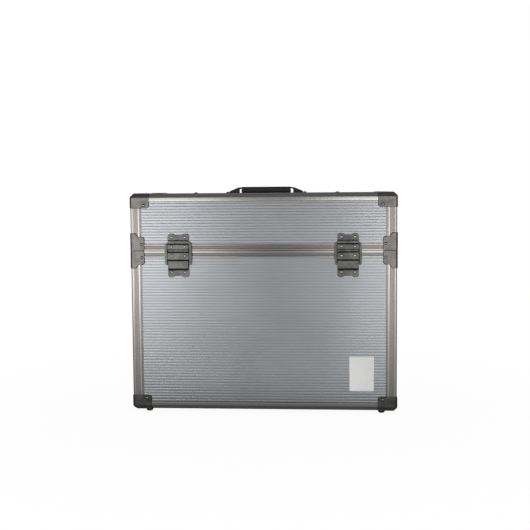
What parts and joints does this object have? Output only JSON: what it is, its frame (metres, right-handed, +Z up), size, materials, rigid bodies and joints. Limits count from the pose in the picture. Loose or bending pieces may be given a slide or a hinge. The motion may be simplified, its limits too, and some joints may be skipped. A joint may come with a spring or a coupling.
{
  "type": "carrying case",
  "caption": "Ribbed aluminium carrying case with a hinged lid, draw latches, corner caps, a strap handle and rubber feet.",
  "frame": {"origin": "on the floor, under the middle of the closed case", "axes": "+X to the right seen from the front, +Y from front to rear, +Z up"},
  "size_m": [0.5428, 0.244, 0.463],
  "materials": {
    "ribbed_panel": "horizontal ribs, satin, cool grey",
    "profile": "satin anodised, faintly warm grey",
    "corner_steel": "dark grey-green, half gloss",
    "latch_metal": "grey, half gloss, with bright rivets",
    "hinge_steel": "plain steel",
    "foot_rubber": "black rubber",
    "lining": "dark foam with a fine nap",
    "plate": "bare satin plate",
    "handle_black": "black moulded plastic",
    "strap": "black covered spring strip",
    "grip": "soft black grip"
  },
  "bodies": {
    "case_body": {"body_front_board": "ribbed_panel", "body_rear_board": "ribbed_panel", "body_left_board": "ribbed_panel", "body_right_board": "ribbed_panel", "body_bottom_board": "ribbed_panel", "bottom_edge_frame": "profile", "body_rim_frame": "profile", "body_post_front_left": "profile", "body_post_front_right": "profile", "body_post_rear_left": "profile", "body_post_rear_right": "profile", "bottom_cap_front_left": "corner_steel", "bottom_cap_front_right": "corner_steel", "bottom_cap_rear_left": "corner_steel", "bottom_cap_rear_right": "corner_steel", "foot_front_left": "foot_rubber", "foot_front_right": "foot_rubber", "foot_rear_left": "foot_rubber", "foot_rear_right": "foot_rubber", "lower_guide_left": "corner_steel", "lower_guide_right": "corner_steel", "body_lining": "lining", "front_plate": "plate", "latch_base_left": "latch_metal", "latch_base_right": "latch_metal", "latch_pin_left": "hinge_steel", "latch_pin_right": "hinge_steel", "hinge_body_leaf_left": "hinge_steel", "hinge_body_leaf_right": "hinge_steel"},
    "lid": {"lid_front_board": "ribbed_panel", "lid_rear_board": "ribbed_panel", "lid_left_board": "ribbed_panel", "lid_right_board": "ribbed_panel", "lid_top_board": "ribbed_panel", "top_edge_frame": "profile", "lid_rim_frame": "profile", "lid_post_front_left": "profile", "lid_post_front_right": "profile", "lid_post_rear_left": "profile", "lid_post_rear_right": "profile", "top_cap_front_left": "corner_steel", "top_cap_front_right": "corner_steel", "top_cap_rear_left": "corner_steel", "top_cap_rear_right": "corner_steel", "upper_guide_left": "corner_steel", "upper_guide_right": "corner_steel", "lid_lining": "lining", "latch_keeper_left": "latch_metal", "latch_keeper_right": "latch_metal", "hinge_lid_leaf_left": "hinge_steel", "hinge_lid_leaf_right": "hinge_steel", "handle_housing_left": "handle_black", "handle_housing_right": "handle_black"},
    "handle": {"handle_grip": "grip", "handle_strap": "strap"},
    "lever_left": {"latch_lever_left": "latch_metal"},
    "link_left": {"latch_link_left": "latch_metal"},
    "lever_right": {"latch_lever_right": "latch_metal"},
    "link_right": {"latch_link_right": "latch_metal"}
  },
  "joints": [
    {"name": "lid_open", "type": "hinge", "parent": "case_body", "child": "lid", "pos_m": [0, 0.11865, 0.334], "axis": [-1, 0, 0], "range_deg": [0, 100]},
    {"name": "left_lever_lift", "type": "hinge", "parent": "case_body", "child": "lever_left", "pos_m": [-0.172, -0.1179, 0.3115], "axis": [-1, 0, 0], "range_deg": [0, 95]},
    {"name": "left_link_swing", "type": "hinge", "parent": "lever_left", "child": "link_left", "pos_m": [-0.172, -0.1179, 0.3075], "axis": [-1, 0, 0], "range_deg": [-114, 0]},
    {"name": "right_lever_lift", "type": "hinge", "parent": "case_body", "child": "lever_right", "pos_m": [0.172, -0.1179, 0.3115], "axis": [-1, 0, 0], "range_deg": [0, 95]},
    {"name": "right_link_swing", "type": "hinge", "parent": "lever_right", "child": "link_right", "pos_m": [0.172, -0.1179, 0.3075], "axis": [-1, 0, 0], "range_deg": [-114, 0]},
    {"name": "handle_lift", "type": "slide", "parent": "lid", "child": "handle", "axis": [0, 0, 1], "range_m": [0, 0.012], "deforming": ["handle_strap"]}
  ],
  "couplings": [
    {"joint": "left_link_swing", "follows": "left_lever_lift", "ratio": -1.2},
    {"joint": "right_link_swing", "follows": "right_lever_lift", "ratio": -1.2}
  ]
}
